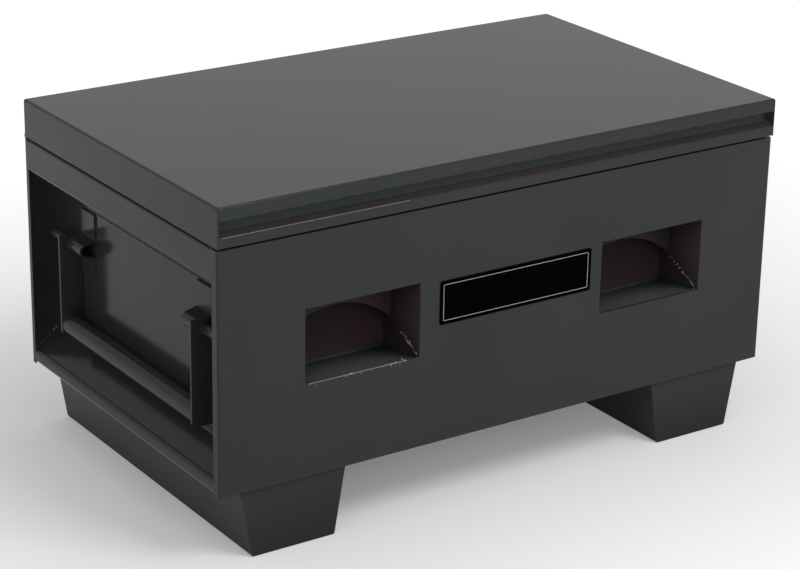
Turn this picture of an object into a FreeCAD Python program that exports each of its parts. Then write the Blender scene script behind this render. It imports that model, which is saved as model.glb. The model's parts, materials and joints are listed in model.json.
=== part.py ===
import FreeCAD, Part
import math
import os

from FreeCAD import Placement, Rotation, Vector

# Steel jobsite storage box, in millimetres. +X is to the right, +Y to the rear, +Z up.
# Heights are counted from the floor. While it is built, Y is 0 midway between the front and
# rear panels; the exported frame then has its origin under the middle of the whole box.

# ---- driving dimensions: body ----
BOX_LENGTH = 812.8
BOX_DEPTH = 482.6
SKID_HEIGHT = 87.5
BODY_HEIGHT = 302.5
SHEET = 1.5
BEND = 1.5
RIM_WIDTH = 20.0
RIM_LIP = 13.0
FLOOR_FLANGE = 20.0
FRONT_END_FLANGE = 13.0
REAR_END_FLANGE = 9.0
SEAT_GAP = 0.3

# ---- end recesses ----
RECESS_DEPTH = 39.0
HEADER_HEIGHT = 43.5
HEADER_BEND = 5.5
SILL_HEIGHT = 16.0
SILL_LIP = 3.6
SILL_FLANGE = 20.0
SILL_BEND = 5.5
RECESS_FLOOR_RISE = 26.8
RECESS_BEND = 5.0

# ---- padlock pockets ----
POCKET_WIDTH = 159.5
POCKET_HEIGHT = 94.5
POCKET_RIM_DISTANCE = 91.1
POCKET_LEFT_MARGIN = 115.2
POCKET_RIGHT_MARGIN = 108.7
LOCK_SHEET = 2.0
LOCK_DEPTH = 82.0
LOCK_CEILING_RISE = 4.5
LOCK_FLOOR_DROP = 1.5
LOCK_FLOOR_FALL = 12.5
LOCK_BEND = 2.5
HOOD_SHEET = 3.0
HOOD_DEPTH = 61.8
HOOD_BACK_RISE = 29.0
HOOD_ARCH_RISE = 34.0
HOOD_EDGE_SAG = 3.0

# ---- padlock hasps ----
TONGUE_WIDTH = 40.0
TONGUE_THICKNESS = 6.0
TONGUE_SETBACK = 36.3
TONGUE_FOOT = 25.0
TONGUE_CORNER = 8.0
SHACKLE_HOLE_RADIUS = 5.5
SHACKLE_HOLE_DROP = 11.0
TONGUE_END_MARGIN = 4.5
LOCK_PLATE_THICKNESS = 3.0
LOCK_PLATE_MARGIN = 14.0
SLOT_SIDE_CLEARANCE = 3.0
SLOT_FRONT_CLEARANCE = 7.5
SLOT_REAR_CLEARANCE = 1.5

# ---- lid ----
SEAM_GAP = 2.9
LID_HEIGHT = 49.0
LID_END_OVERHANG = 0.2
LID_FRONT_OVERHANG = 2.7
LID_REAR_SETBACK = 1.8
LID_EDGE_RADIUS = 3.0
LID_CORNER_RADIUS = 1.4
FASCIA_HEIGHT = 16.0
GROOVE_DEPTH = 10.0
GROOVE_HEIGHT = 14.5
SHELF_FALL = 5.5
LIP_RETURN = 17.0
FASCIA_LAP = 12.0
LID_SIDE_RETURN = 12.0
LID_REAR_RETURN = 25.0
STIFFENER_CROWN = 40.0
STIFFENER_HEIGHT = 17.0
STIFFENER_SLOPE = 5.0
STIFFENER_FLANGE = 15.0
STIFFENER_END_GAP = 76.6
STIFFENER_SPACING = 160.0

# ---- piano hinge ----
HINGE_LEAF = 1.2
HINGE_LEAF_WIDTH = 20.0
HINGE_PIN_RADIUS = 2.0
HINGE_RUNNING_CLEARANCE = 0.05
HINGE_WALL = 1.2
HINGE_PIN_STANDOFF = 3.7
HINGE_END_MARGIN = 3.0
HINGE_KNUCKLES = 9
KNUCKLE_GAP = 0.6
LEAF_NOTCH_CLEARANCE = 0.9

# ---- lid stay ----
STAY_RADIUS = 150.0
STAY_OPEN_ANGLE = 100.0
STAY_PIVOT_ANGLE = 7.3
STAY_STUD_ANGLE = 14.0
STAY_WIDTH = 22.0
STAY_THICKNESS = 3.0
STAY_END_GAP = 17.4
STAY_SIDE_GAP = 0.5
STAY_PIN_RADIUS = 4.0
STAY_SLOT_CLEARANCE = 0.5
STAY_RUNNING_CLEARANCE = 0.08
STAY_HEX = 13.0
STAY_HEX_HEIGHT = 5.0
BRACKET_SHEET = 2.5
BRACKET_HALF_WIDTH = 14.0
BRACKET_CHAMFER = 8.0
BRACKET_FOOT = 18.0

# ---- bail handles ----
HANDLE_PIVOT_DROP = 77.5
HANDLE_ARM_INSET = 73.3
HANDLE_ARM_WIDTH = 31.6
HANDLE_ARM_HEAD = 12.5
HANDLE_ARM_THICKNESS = 3.0
HANDLE_ARM_CLEARANCE = 1.0
HANDLE_ARM_TAIL = 14.0
HANDLE_ARM_CHAMFER = 5.0
GRIP_FLOOR_CLEARANCE = 18.1
GRIP_OFFSET = 5.1
GRIP_RADIUS = 13.5
GRIP_WALL = 2.0
PIVOT_RADIUS = 7.0
PIVOT_END_GAP = 30.7
PIVOT_INNER_REACH = 18.0
PIVOT_RUNNING_CLEARANCE = 0.08
SADDLE_SHEET = 2.5
SADDLE_SPLAY_ANGLE = 14.0
SADDLE_WIDTH = 35.0
SADDLE_ARM_GAP = 1.4
SADDLE_UPPER_REACH = 44.5
SADDLE_LOWER_REACH = 36.5

# ---- skids ----
SKID_TOP_WIDTH = 143.4
SKID_TAPER = 14.8
SKID_INSET = 30.7
SKID_SETBACK = 3.8
SKID_SHEET = 2.0
SKID_FLANGE = 15.0
SKID_BEND = 0.6
SKID_FLANGE_BEND = 5.0

# ---- small parts ----
LABEL_WIDTH = 225.0
LABEL_HEIGHT = 55.4
LABEL_RISE = 35.2
LABEL_SHIFT = 8.6
LABEL_THICKNESS = 1.2
LABEL_CORNER = 3.0
BUMPER_LENGTH = 20.0
BUMPER_WIDTH = 8.0
BUMPER_HEIGHT = 2.7
BUMPER_INSET = 4.0
BUMPER_END_DISTANCE = 36.4
BUMPER_SIDE_OFFSET = 110.0

# ---- places worked out from them ----
HALF_LENGTH = BOX_LENGTH / 2
HALF_DEPTH = BOX_DEPTH / 2
BODY_TOP = SKID_HEIGHT + BODY_HEIGHT
FRONT_FACE = -HALF_DEPTH
FRONT_INSIDE = FRONT_FACE + SHEET
INNER_HALF_DEPTH = HALF_DEPTH - SHEET
END_OUTSIDE = HALF_LENGTH - RECESS_DEPTH
END_INSIDE = END_OUTSIDE - SHEET
SILL_FLAT = HALF_LENGTH - SHEET - SILL_BEND
LID_BOTTOM = BODY_TOP + SEAM_GAP
LID_TOP = LID_BOTTOM + LID_HEIGHT
LID_UNDERSIDE = LID_TOP - SHEET
LID_FRONT = FRONT_FACE - LID_FRONT_OVERHANG
LID_REAR = HALF_DEPTH - LID_REAR_SETBACK
LID_HALF_LENGTH = HALF_LENGTH + LID_END_OVERHANG
HINGE_Y = HALF_DEPTH + HINGE_PIN_STANDOFF
HINGE_Z = BODY_TOP + SEAM_GAP / 2
KNUCKLE_RADIUS = HINGE_PIN_RADIUS + HINGE_RUNNING_CLEARANCE + HINGE_WALL
POCKET_TOP = BODY_TOP - POCKET_RIM_DISTANCE
POCKET_BOTTOM = POCKET_TOP - POCKET_HEIGHT
POCKET_CENTRES = {"left": POCKET_LEFT_MARGIN + POCKET_WIDTH / 2 - HALF_LENGTH,
                  "right": HALF_LENGTH - POCKET_RIGHT_MARGIN - POCKET_WIDTH / 2}
LOCK_CEILING = POCKET_TOP + LOCK_CEILING_RISE
LOCK_FLOOR_FRONT = POCKET_BOTTOM - LOCK_FLOOR_DROP
HOOD_BACK_LOW = POCKET_BOTTOM + HOOD_BACK_RISE
HOOD_ARCH_TOP = HOOD_BACK_LOW + HOOD_ARCH_RISE
TONGUE_FRONT = FRONT_FACE + TONGUE_SETBACK
STAY_PLANE = END_INSIDE - STAY_END_GAP
RECESS_CEILING = BODY_TOP - HEADER_HEIGHT
RECESS_SLOPE = math.atan2(RECESS_FLOOR_RISE, RECESS_DEPTH - SHEET)
RECESS_FOOT = SKID_HEIGHT + SILL_HEIGHT - SHEET * math.tan(math.pi / 4 - RECESS_SLOPE / 2)
RECESS_FLOOR_TOP = RECESS_FOOT + RECESS_FLOOR_RISE
HANDLE_PIVOT_X = END_OUTSIDE + HANDLE_ARM_CLEARANCE + HANDLE_ARM_HEAD
HANDLE_PIVOT_Z = RECESS_CEILING - HANDLE_PIVOT_DROP
GRIP_Z = RECESS_FLOOR_TOP + GRIP_FLOOR_CLEARANCE + GRIP_RADIUS
ARM_OUTSIDE = HALF_DEPTH - HANDLE_ARM_INSET
ARM_INSIDE = ARM_OUTSIDE - HANDLE_ARM_THICKNESS
SADDLE_BORE = PIVOT_RADIUS + PIVOT_RUNNING_CLEARANCE
SADDLE_START = ARM_INSIDE - SADDLE_ARM_GAP - SADDLE_WIDTH
SADDLE_END = ARM_INSIDE - SADDLE_ARM_GAP
ORIGIN_Y = (LID_FRONT + HINGE_Y + KNUCKLE_RADIUS) / 2


# ---- shape helpers ----
def block(x0, x1, y0, y1, z0, z1):
    """A rectangular block between two corners."""
    return Part.makeBox(x1 - x0, y1 - y0, z1 - z0, Vector(x0, y0, z0))


def rod(start, direction, radius, length):
    """A round bar from a point along a direction."""
    return Part.makeCylinder(radius, length, start, direction)


def fuse(first, *others):
    """One clean solid from shapes that touch or overlap."""
    return first.fuse(list(others)).removeSplitter()


def mirrored_x(shape):
    """The same shape on the other end of the box."""
    return shape.mirror(Vector(0, 0, 0), Vector(1, 0, 0))


def mirrored_y(shape):
    """The same shape on the other long side of the box."""
    return shape.mirror(Vector(0, 0, 0), Vector(0, 1, 0))


def left_normal(start, end):
    """Unit vector to the left of the way from start to end."""
    way = (end - start).normalize()
    return Vector(-way.y, way.x, 0)


def shifted_path(path, distance):
    """An open path moved to its left by a distance, with mitred corners."""
    normals = [left_normal(a, b) for a, b in zip(path, path[1:])]
    moved = [path[0] + normals[0] * distance]
    for point, before, after in zip(path[1:-1], normals, normals[1:]):
        mitre = before + after
        moved.append(point + mitre * (2 * distance / mitre.dot(mitre)))
    moved.append(path[-1] + normals[-1] * distance)
    return moved


def turns_left(before, corner, after):
    """Whether the path bends to the left at a corner."""
    return (corner - before).cross(after - corner).z > 0


def rounded_edges(path, radii):
    """Straight edges along an open path, joined by tangent arcs of the given radii."""
    edges = []
    last = path[0]
    for before, corner, after, radius in zip(path, path[1:], path[2:], radii):
        way_in = (corner - before).normalize()
        way_out = (after - corner).normalize()
        half_turn = way_in.getAngle(way_out) / 2
        trim = radius * math.tan(half_turn)
        bisector = (way_out - way_in).normalize()
        arc_start = corner - way_in * trim
        arc_end = corner + way_out * trim
        arc_middle = corner + bisector * (radius / math.cos(half_turn) - radius)
        edges.append(Part.makeLine(last, arc_start))
        edges.append(Part.Arc(arc_start, arc_middle, arc_end).toShape())
        last = arc_end
    edges.append(Part.makeLine(last, path[-1]))
    return edges


def sheet_face(points, thickness, *bends):
    """The cross-section of a folded sheet: a path of its outer side, thickened to the left.
    Its inner bend radius is one for all folds, or one for each."""
    path = [Vector(u, v, 0) for u, v in points]
    inner = shifted_path(path, thickness)
    folds = [turns_left(*corner) for corner in zip(path, path[1:], path[2:])]
    radii = bends if len(bends) > 1 else bends * len(folds)
    path_radii = [bend + thickness if left else bend for left, bend in zip(folds, radii)]
    inner_radii = [bend if left else bend + thickness for left, bend in zip(folds, radii)]
    edges = rounded_edges(path, path_radii)
    edges.append(Part.makeLine(path[-1], inner[-1]))
    edges += rounded_edges(inner, inner_radii)
    edges.append(Part.makeLine(inner[0], path[0]))
    return Part.Face(Part.Wire(Part.__sortEdges__(edges)))


def rounded_face(points, radii):
    """A closed outline with one corner radius for each point; a radius of 0 stays sharp."""
    corners = [Vector(u, v, 0) for u, v in points]
    edges = []
    ends = []
    for index, (corner, radius) in enumerate(zip(corners, radii)):
        way_in = (corner - corners[index - 1]).normalize()
        way_out = (corners[(index + 1) % len(corners)] - corner).normalize()
        half_turn = way_in.getAngle(way_out) / 2
        trim = radius * math.tan(half_turn)
        arc_start = corner - way_in * trim
        arc_end = corner + way_out * trim
        ends.append((arc_start, arc_end))
        if radius > 0:
            bisector = (way_out - way_in).normalize()
            arc_middle = corner + bisector * (radius / math.cos(half_turn) - radius)
            edges.append(Part.Arc(arc_start, arc_middle, arc_end).toShape())
    for index, (arc_start, arc_end) in enumerate(ends):
        edges.append(Part.makeLine(ends[index - 1][1], arc_start))
    return Part.Face(Part.Wire(Part.__sortEdges__(edges)))


def polygon_face(points):
    """A closed outline with sharp corners."""
    corners = [Vector(u, v, 0) for u, v in points]
    return Part.Face(Part.makePolygon(corners + corners[:1]))


def rectangle_face(u0, u1, v0, v1, radius):
    """A rectangle with four equal round corners."""
    return rounded_face([(u0, v0), (u1, v0), (u1, v1), (u0, v1)], [radius] * 4)


def hexagon_face(middle, across_flats):
    """A hexagon about a point."""
    radius = across_flats / math.sqrt(3)
    turns = [math.radians(degrees) for degrees in range(0, 361, 60)]
    corners = [middle + Vector(math.cos(turn), math.sin(turn), 0) * radius for turn in turns]
    return Part.Face(Part.makePolygon(corners))


def capsule_face(start, end, radius):
    """A slot-shaped outline: two half circles joined by tangents."""
    way = (end - start).normalize()
    side = Vector(-way.y, way.x, 0) * radius
    cap = way * radius
    edges = [
        Part.makeLine(start - side, end - side),
        Part.Arc(end - side, end + cap, end + side).toShape(),
        Part.makeLine(end + side, start + side),
        Part.Arc(start + side, start - cap, start - side).toShape(),
    ]
    return Part.Face(Part.Wire(edges))


def along_x(face, x0, x1):
    """Extrude a face drawn in (Y, Z) from x0 to x1."""
    solid = face.extrude(Vector(0, 0, x1 - x0))
    solid.Placement = Placement(Vector(x0, 0, 0), Rotation(Vector(1, 1, 1), 120))
    return solid


def along_y(face, y0, y1):
    """Extrude a face drawn in (X, Z) from y0 to y1."""
    solid = face.extrude(Vector(0, 0, y1 - y0))
    solid.Placement = Placement(Vector(0, y1, 0), Rotation(Vector(1, 0, 0), 90))
    return solid


def along_z(face, z0, z1):
    """Extrude a face drawn in (X, Y) from z0 to z1."""
    return face.extrude(Vector(0, 0, z1 - z0)).translate(Vector(0, 0, z0))


# ---- body ----
def wrapped_panel(end_flange):
    """A long panel at the front: flanges round both ends, a rim on top and a flange below."""
    tip = FRONT_FACE + end_flange
    plan = [(-HALF_LENGTH, tip), (-HALF_LENGTH, FRONT_FACE), (HALF_LENGTH, FRONT_FACE), (HALF_LENGTH, tip)]
    wall = along_z(sheet_face(plan, SHEET, BEND), SKID_HEIGHT, BODY_TOP)
    rim_inside = FRONT_FACE + RIM_WIDTH
    side = HALF_LENGTH - SHEET
    rim = block(-side, side, FRONT_INSIDE, rim_inside, BODY_TOP - SHEET, BODY_TOP)
    lip = block(-END_INSIDE, END_INSIDE, rim_inside - SHEET, rim_inside, BODY_TOP - RIM_LIP, BODY_TOP)
    floor_inside = FRONT_FACE + FLOOR_FLANGE
    flange = block(-SILL_FLAT, SILL_FLAT, FRONT_INSIDE, floor_inside, SKID_HEIGHT, SKID_HEIGHT + SHEET)
    return fuse(wall, rim, lip, flange)


def front_panel():
    """The front panel with its two pocket openings."""
    panel = wrapped_panel(FRONT_END_FLANGE)
    for centre in POCKET_CENTRES.values():
        opening = block(centre - POCKET_WIDTH / 2, centre + POCKET_WIDTH / 2, FRONT_FACE, FRONT_INSIDE,
                        POCKET_BOTTOM, POCKET_TOP)
        panel = panel.cut(opening)
    return panel


def rear_panel():
    """The rear panel, with narrower end flanges."""
    return mirrored_y(wrapped_panel(REAR_END_FLANGE))


def bottom_panel():
    """The flat floor, laid on the flanges of the panels and sills."""
    half_length = SILL_FLAT - SEAT_GAP
    half_depth = INNER_HALF_DEPTH - SEAT_GAP
    top = SKID_HEIGHT + 2 * SHEET
    return block(-half_length, half_length, -half_depth, half_depth, SKID_HEIGHT + SHEET, top)


def flange_corners():
    """Where the front and rear panels' flanges and their bends cover a left end, full height."""
    flange_inside = SHEET - HALF_LENGTH
    bend_inside = flange_inside + BEND
    bend_end = INNER_HALF_DEPTH - BEND
    return [
        block(-HALF_LENGTH, flange_inside, -HALF_DEPTH, FRONT_END_FLANGE - HALF_DEPTH, 0, BODY_TOP),
        block(-HALF_LENGTH, flange_inside, HALF_DEPTH - REAR_END_FLANGE, HALF_DEPTH, 0, BODY_TOP),
        block(-HALF_LENGTH, bend_inside, -HALF_DEPTH, -bend_end, 0, BODY_TOP),
        block(-HALF_LENGTH, bend_inside, bend_end, HALF_DEPTH, 0, BODY_TOP),
    ]


def end_header():
    """The band over the left recess: a channel whose lower flange is the recess ceiling."""
    path = [(-END_INSIDE, BODY_TOP), (-HALF_LENGTH, BODY_TOP),
            (-HALF_LENGTH, RECESS_CEILING), (-END_OUTSIDE, RECESS_CEILING)]
    channel = along_y(sheet_face(path, SHEET, BEND, HEADER_BEND), -INNER_HALF_DEPTH, INNER_HALF_DEPTH)
    rim_inside = HALF_DEPTH - RIM_WIDTH
    rims = [block(-HALF_LENGTH, 0, -HALF_DEPTH, -rim_inside, BODY_TOP - SHEET, BODY_TOP),
            block(-HALF_LENGTH, 0, rim_inside, HALF_DEPTH, BODY_TOP - SHEET, BODY_TOP)]
    return channel.cut(flange_corners() + rims)


def end_sill():
    """The strip under the left recess: an angle whose upper lip is folded onto the sloped foot."""
    inner = SILL_FLANGE - HALF_LENGTH
    sill_top = SKID_HEIGHT + SILL_HEIGHT
    lip = (SILL_LIP - HALF_LENGTH, sill_top + SILL_LIP * math.tan(RECESS_SLOPE))
    path = [lip, (-HALF_LENGTH, sill_top), (-HALF_LENGTH, SKID_HEIGHT), (inner, SKID_HEIGHT)]
    strip = along_y(sheet_face(path, SHEET, SILL_BEND), -INNER_HALF_DEPTH, INNER_HALF_DEPTH)
    flange_inside = HALF_DEPTH - FLOOR_FLANGE
    top = SKID_HEIGHT + SHEET + SILL_BEND
    trims = [block(-SILL_FLAT, inner, -HALF_DEPTH, -flange_inside, SKID_HEIGHT, top),
             block(-SILL_FLAT, inner, flange_inside, HALF_DEPTH, SKID_HEIGHT, top)]
    return strip.cut(flange_corners() + trims)


def end_panel():
    """The recessed left end: an upright wall, a sloped foot and a flange behind the sill."""
    lap = SHEET - HALF_LENGTH
    path = [(-END_OUTSIDE, BODY_TOP - SHEET), (-END_OUTSIDE, RECESS_FLOOR_TOP),
            (lap, RECESS_FOOT), (lap, SKID_HEIGHT + SHEET + SILL_BEND)]
    wall = along_y(sheet_face(path, SHEET, RECESS_BEND), -INNER_HALF_DEPTH, INNER_HALF_DEPTH)
    return wall.cut(flange_corners())


# ---- padlock pockets ----
def lock_box(centre):
    """The housing behind a pocket opening: ceiling, back and falling floor folded in one, and two cheeks."""
    back = FRONT_INSIDE + LOCK_DEPTH
    floor_back = LOCK_FLOOR_FRONT - LOCK_FLOOR_FALL
    path = [(FRONT_INSIDE, LOCK_CEILING), (back, LOCK_CEILING), (back, floor_back),
            (FRONT_INSIDE, LOCK_FLOOR_FRONT)]
    inner_half = POCKET_WIDTH / 2 + HOOD_SHEET
    outer_half = inner_half + LOCK_SHEET
    strip = along_x(sheet_face(path, LOCK_SHEET, LOCK_BEND), centre - outer_half, centre + outer_half)
    bends = [0, LOCK_BEND, LOCK_BEND, 0]
    cheek = rounded_face(path, bends)
    cheeks = [along_x(cheek, centre - outer_half, centre - inner_half),
              along_x(cheek, centre + inner_half, centre + outer_half)]
    in_front = block(centre - outer_half, centre + outer_half, FRONT_FACE - LOCK_SHEET, FRONT_INSIDE,
                     POCKET_BOTTOM - LOCK_DEPTH, LOCK_CEILING + LOCK_SHEET)
    return fuse(strip, *cheeks).cut([in_front, tongue_slot(centre)])


def tongue_slot(centre):
    """The slot that a hasp tongue drops through, long enough for its swing."""
    half = TONGUE_WIDTH / 2 + SLOT_SIDE_CLEARANCE
    front = TONGUE_FRONT - SLOT_FRONT_CLEARANCE
    rear = TONGUE_FRONT + TONGUE_THICKNESS + SLOT_REAR_CLEARANCE
    low = LOCK_CEILING - LOCK_PLATE_THICKNESS
    return block(centre - half, centre + half, front, rear, low, LOCK_CEILING + LOCK_SHEET)


def lock_plate(centre):
    """The thick slotted plate under the ceiling, which the padlock's shackle pulls against."""
    half = TONGUE_WIDTH / 2 + SLOT_SIDE_CLEARANCE + LOCK_PLATE_MARGIN
    front = TONGUE_FRONT - SLOT_FRONT_CLEARANCE - LOCK_PLATE_MARGIN
    rear = TONGUE_FRONT + TONGUE_THICKNESS + SLOT_REAR_CLEARANCE + LOCK_PLATE_MARGIN
    low = LOCK_CEILING - LOCK_PLATE_THICKNESS
    plate = block(centre - half, centre + half, front, rear, low, LOCK_CEILING)
    return plate.cut(tongue_slot(centre))


def lock_hood(centre):
    """The guard inside a lock box: cheeks with rising lower edges, and a back with an arched one."""
    half = POCKET_WIDTH / 2
    back = FRONT_FACE + HOOD_DEPTH
    rear = back + HOOD_SHEET
    outer = block(centre - half - HOOD_SHEET, centre + half + HOOD_SHEET, FRONT_INSIDE, rear,
                  LOCK_FLOOR_FRONT, LOCK_CEILING)
    inner = block(centre - half, centre + half, FRONT_INSIDE, back, LOCK_FLOOR_FRONT, LOCK_CEILING)
    start = Vector(FRONT_INSIDE, LOCK_FLOOR_FRONT, 0)
    end = Vector(back, HOOD_BACK_LOW, 0)
    middle = (start + end) * 0.5 + left_normal(start, end) * HOOD_EDGE_SAG
    far = Vector(rear + HOOD_SHEET, HOOD_BACK_LOW, 0)
    low = Vector(rear + HOOD_SHEET, LOCK_FLOOR_FRONT, 0)
    edges = [Part.Arc(start, middle, end).toShape(), Part.makeLine(end, far),
             Part.makeLine(far, low), Part.makeLine(low, start)]
    side = half + HOOD_SHEET
    under_cheeks = along_x(Part.Face(Part.Wire(edges)), centre - side, centre + side)
    arch_radius = (half * half + HOOD_ARCH_RISE * HOOD_ARCH_RISE) / (2 * HOOD_ARCH_RISE)
    arch = rod(Vector(centre, back, HOOD_ARCH_TOP - arch_radius), Vector(0, 1, 0), arch_radius, HOOD_SHEET)
    return outer.cut([inner, under_cheeks, arch])


def hasp_tongue(centre):
    """A bar on the lid that drops through the slot, with a hole for the padlock's shackle."""
    hole_z = LOCK_CEILING - SHACKLE_HOLE_DROP
    end_z = hole_z - SHACKLE_HOLE_RADIUS - TONGUE_END_MARGIN
    half = TONGUE_WIDTH / 2
    outline = rounded_face([(centre - half, end_z), (centre + half, end_z),
                            (centre + half, LID_UNDERSIDE), (centre - half, LID_UNDERSIDE)],
                           [TONGUE_CORNER, TONGUE_CORNER, 0, 0])
    rear = TONGUE_FRONT + TONGUE_THICKNESS
    bar = along_y(outline, TONGUE_FRONT, rear)
    foot = block(centre - half, centre + half, rear, rear + TONGUE_FOOT,
                 LID_UNDERSIDE - TONGUE_THICKNESS, LID_UNDERSIDE)
    hole = rod(Vector(centre, TONGUE_FRONT, hole_z), Vector(0, 1, 0), SHACKLE_HOLE_RADIUS, TONGUE_THICKNESS)
    return fuse(bar, foot).cut(hole)


# ---- lid ----
def lid_shell():
    """The folded lid pan: flat top, short front fascia, full-height end and rear skirts."""
    pan = block(-LID_HALF_LENGTH, LID_HALF_LENGTH, LID_FRONT, LID_REAR, LID_BOTTOM, LID_TOP)
    uprights = [e for e in pan.Edges if abs(e.BoundBox.ZLength - LID_HEIGHT) < SHEET]
    pan = pan.makeFillet(LID_CORNER_RADIUS, uprights)
    top_edges = [e for e in pan.Edges if e.BoundBox.ZMin > LID_TOP - SHEET]
    pan = pan.makeFillet(LID_EDGE_RADIUS, top_edges)
    half_inside = LID_HALF_LENGTH - SHEET
    front_inside = LID_FRONT + SHEET
    rear_inside = LID_REAR - SHEET
    hollow = block(-half_inside, half_inside, front_inside, rear_inside, LID_BOTTOM, LID_UNDERSIDE)
    hollow = hollow.makeFillet(BEND, [e for e in hollow.Edges if e.BoundBox.ZMin > LID_UNDERSIDE - SHEET])
    fascia_bottom = LID_TOP - FASCIA_HEIGHT
    below_fascia = block(-half_inside, half_inside, LID_FRONT, front_inside, LID_BOTTOM, fascia_bottom)
    pan = pan.cut([hollow, below_fascia])
    return_top = LID_BOTTOM + SHEET
    return_front = LID_FRONT + LIP_RETURN
    return_rear = LID_REAR - LID_REAR_RETURN
    inner_side = half_inside - LID_SIDE_RETURN
    rear_return = block(-half_inside, half_inside, return_rear, rear_inside, LID_BOTTOM, return_top)
    side_returns = [block(-half_inside, -inner_side, return_front, return_rear, LID_BOTTOM, return_top),
                    block(inner_side, half_inside, return_front, return_rear, LID_BOTTOM, return_top)]
    return fuse(pan, rear_return, *side_returns)


def lid_front_channel():
    """The folded strip under the fascia: a deep groove, a sloping shelf and the lower lip."""
    fascia_back = LID_FRONT + SHEET
    groove_top = LID_TOP - FASCIA_HEIGHT
    groove_back = LID_FRONT + GROOVE_DEPTH
    shelf_top = groove_top - GROOVE_HEIGHT
    path = [(fascia_back, groove_top + FASCIA_LAP), (fascia_back, groove_top), (groove_back, groove_top),
            (groove_back, shelf_top), (LID_FRONT, shelf_top - SHELF_FALL), (LID_FRONT, LID_BOTTOM),
            (LID_FRONT + LIP_RETURN, LID_BOTTOM)]
    half = LID_HALF_LENGTH - SHEET
    return along_x(sheet_face(path, SHEET, BEND / 2), -half, half)


def lid_stiffener(middle):
    """A hat section welded under the lid's top, parallel to the front."""
    flange_z = LID_UNDERSIDE - SHEET
    crown_z = LID_UNDERSIDE - STIFFENER_HEIGHT
    half_crown = STIFFENER_CROWN / 2
    half_mouth = half_crown + STIFFENER_SLOPE
    half_width = half_mouth + STIFFENER_FLANGE
    path = [(middle - half_width, flange_z), (middle - half_mouth, flange_z), (middle - half_crown, crown_z),
            (middle + half_crown, crown_z), (middle + half_mouth, flange_z), (middle + half_width, flange_z)]
    half_length = LID_HALF_LENGTH - STIFFENER_END_GAP
    return along_x(sheet_face(path, SHEET, BEND), -half_length, half_length)


# ---- piano hinge ----
def hinge_leaf(leaf_z, first_knuckle, bore):
    """One leaf with every second knuckle, notched to clear the other leaf's knuckles."""
    start = HINGE_END_MARGIN - HALF_LENGTH
    pitch = (BOX_LENGTH - 2 * HINGE_END_MARGIN) / HINGE_KNUCKLES
    notch_y = HINGE_Y - KNUCKLE_RADIUS - LEAF_NOTCH_CLEARANCE
    plate_y = notch_y - HINGE_LEAF_WIDTH
    pieces = []
    for index in range(first_knuckle, HINGE_KNUCKLES, 2):
        x0 = start + index * pitch + KNUCKLE_GAP / 2
        length = pitch - KNUCKLE_GAP
        pieces.append(block(x0, x0 + length, notch_y, HINGE_Y, leaf_z, leaf_z + HINGE_LEAF))
        pieces.append(rod(Vector(x0, HINGE_Y, HINGE_Z), Vector(1, 0, 0), KNUCKLE_RADIUS, length))
    plate = block(start, -start, plate_y, notch_y, leaf_z, leaf_z + HINGE_LEAF)
    hole = rod(Vector(start, HINGE_Y, HINGE_Z), Vector(1, 0, 0), bore, -2 * start)
    return fuse(plate, *pieces).cut(hole)


def hinge_pin():
    """The pin through all the knuckles."""
    start = HINGE_END_MARGIN - HALF_LENGTH
    return rod(Vector(start, HINGE_Y, HINGE_Z), Vector(1, 0, 0), HINGE_PIN_RADIUS, -2 * start)


# ---- lid stay ----
# The arm's pivot on the lid and its stud on the body lie at one distance from the hinge,
# so the arm turns at half the lid's rate and the stud slides straight along the slot.
def stay_point(angle):
    """A point in (Y, Z) on the stay's circle, at an angle above level, in front of the hinge."""
    turn = math.radians(angle)
    return Vector(HINGE_Y - STAY_RADIUS * math.cos(turn), HINGE_Z + STAY_RADIUS * math.sin(turn), 0)


def stay_reach(lid_angle):
    """Distance from the arm's pivot to the stud when the lid is open by an angle."""
    between = math.radians(STAY_PIVOT_ANGLE + STAY_STUD_ANGLE + lid_angle)
    return 2 * STAY_RADIUS * math.sin(between / 2)


def stay_arm():
    """The slotted arm, hanging from the lid beside the right end panel."""
    pivot = stay_point(STAY_PIVOT_ANGLE)
    stud = stay_point(-STAY_STUD_ANGLE)
    way = (stud - pivot).normalize()
    far_stud = pivot + way * stay_reach(STAY_OPEN_ANGLE)
    slot_radius = STAY_PIN_RADIUS + STAY_SLOT_CLEARANCE
    hole_radius = STAY_PIN_RADIUS + STAY_RUNNING_CLEARANCE
    x1 = STAY_PLANE + STAY_THICKNESS
    arm = along_x(capsule_face(pivot, far_stud, STAY_WIDTH / 2), STAY_PLANE, x1)
    slot = along_x(capsule_face(stud, far_stud, slot_radius), STAY_PLANE, x1)
    hole = rod(Vector(STAY_PLANE, pivot.x, pivot.y), Vector(1, 0, 0), hole_radius, STAY_THICKNESS)
    return arm.cut([slot, hole])


def hex_bolt(middle, nut_x):
    """A hex bolt along X: its head on the inner side of the arm, its nut from nut_x on."""
    head_x = STAY_PLANE - STAY_SIDE_GAP - STAY_HEX_HEIGHT
    hexagon = hexagon_face(middle, STAY_HEX)
    head = along_x(hexagon, head_x, head_x + STAY_HEX_HEIGHT)
    shank = rod(Vector(head_x, middle.x, middle.y), Vector(1, 0, 0), STAY_PIN_RADIUS, nut_x - head_x)
    nut = along_x(hexagon, nut_x, nut_x + STAY_HEX_HEIGHT)
    return fuse(head, shank, nut)


def stay_stud():
    """The bolt that rides in the arm's slot, with its nut welded to the right end panel."""
    return hex_bolt(stay_point(-STAY_STUD_ANGLE), END_INSIDE - STAY_HEX_HEIGHT)


def stay_bolt():
    """The bolt that hangs the arm on its bracket."""
    nut_x = STAY_PLANE + STAY_THICKNESS + STAY_SIDE_GAP + BRACKET_SHEET
    return hex_bolt(stay_point(STAY_PIVOT_ANGLE), nut_x)


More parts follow.
